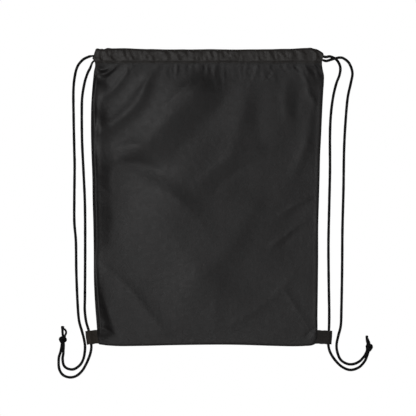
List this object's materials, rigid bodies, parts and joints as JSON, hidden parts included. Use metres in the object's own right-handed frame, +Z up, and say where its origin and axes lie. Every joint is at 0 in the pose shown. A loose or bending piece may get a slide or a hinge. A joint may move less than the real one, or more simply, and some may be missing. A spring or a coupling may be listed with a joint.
{
  "type": "drawstring backpack",
  "caption": "Flat fabric sack with a hemmed drawstring mouth, two looped cord shoulder straps threaded through bottom corner tabs and knotted.",
  "frame": {"origin": "centre of the back panel's flat outer face, half way up the bag on its centre line", "axes": "+Z up towards the mouth, +Y out of the back panel (towards the wearer), -Y out of the front panel, +X to the right as seen from the front"},
  "size_m": [0.4656, 0.024, 0.4871],
  "materials": {
    "bag_fabric": "satin",
    "sewing_thread": "satin",
    "seam_overlock": "matte",
    "braided_cord": "satin",
    "tab_webbing": "matte"
  },
  "bodies": {
    "bag": {"front_panel": "bag_fabric", "back_panel": "bag_fabric", "front_casing": "bag_fabric", "back_casing": "bag_fabric", "front_casing_stitch": "sewing_thread", "back_casing_stitch": "sewing_thread", "left_side_seam": "seam_overlock", "right_side_seam": "seam_overlock", "bottom_seam": "seam_overlock", "left_cord_front_run": "braided_cord", "left_cord_back_run": "braided_cord", "right_cord_front_run": "braided_cord", "right_cord_back_run": "braided_cord"},
    "left_mouth": {"right_cord_bight": "braided_cord"},
    "right_mouth": {"left_cord_bight": "braided_cord"},
    "left_strap": {"left_strap_outer_strand": "braided_cord", "left_strap_inner_strand": "braided_cord", "left_tab": "tab_webbing"},
    "right_strap": {"right_strap_outer_strand": "braided_cord", "right_strap_inner_strand": "braided_cord", "right_tab": "tab_webbing"},
    "left_tail": {"left_tail_outer_strand": "braided_cord", "left_tail_inner_strand": "braided_cord", "left_knot": "braided_cord", "left_cord_end_1": "braided_cord", "left_cord_end_2": "braided_cord"},
    "right_tail": {"right_tail_outer_strand": "braided_cord", "right_tail_inner_strand": "braided_cord", "right_knot": "braided_cord", "right_cord_end_1": "braided_cord", "right_cord_end_2": "braided_cord"}
  },
  "joints": [
    {"name": "left_mouth_gather", "type": "slide", "parent": "bag", "child": "left_mouth", "axis": [1, 0, 0], "range_m": [0, 0.085], "deforming": ["front_casing", "back_casing", "front_casing_stitch", "back_casing_stitch", "left_cord_front_run", "left_cord_back_run", "right_cord_front_run", "right_cord_back_run"]},
    {"name": "right_mouth_gather", "type": "slide", "parent": "bag", "child": "right_mouth", "axis": [-1, 0, 0], "range_m": [0, 0.085]},
    {"name": "left_strap_swing", "type": "hinge", "parent": "bag", "child": "left_strap", "pos_m": [-0.1632, -0.012, -0.2065], "axis": [-0.0116, 0, 0.9999], "range_deg": [-80, 80]},
    {"name": "right_strap_swing", "type": "hinge", "parent": "bag", "child": "right_strap", "pos_m": [0.1632, -0.012, -0.2065], "axis": [-0.0116, 0, -0.9999], "range_deg": [-80, 80]},
    {"name": "left_tail_swing", "type": "hinge", "parent": "left_strap", "child": "left_tail", "pos_m": [-0.1755, -0.012, -0.2245], "axis": [0, 1, 0], "range_deg": [-40, 15]},
    {"name": "right_tail_swing", "type": "hinge", "parent": "right_strap", "child": "right_tail", "pos_m": [0.1857, -0.012, -0.2245], "axis": [0, -1, 0], "range_deg": [-40, 15]}
  ],
  "couplings": [
    {"joint": "right_mouth_gather", "follows": "left_mouth_gather", "ratio": 1}
  ]
}
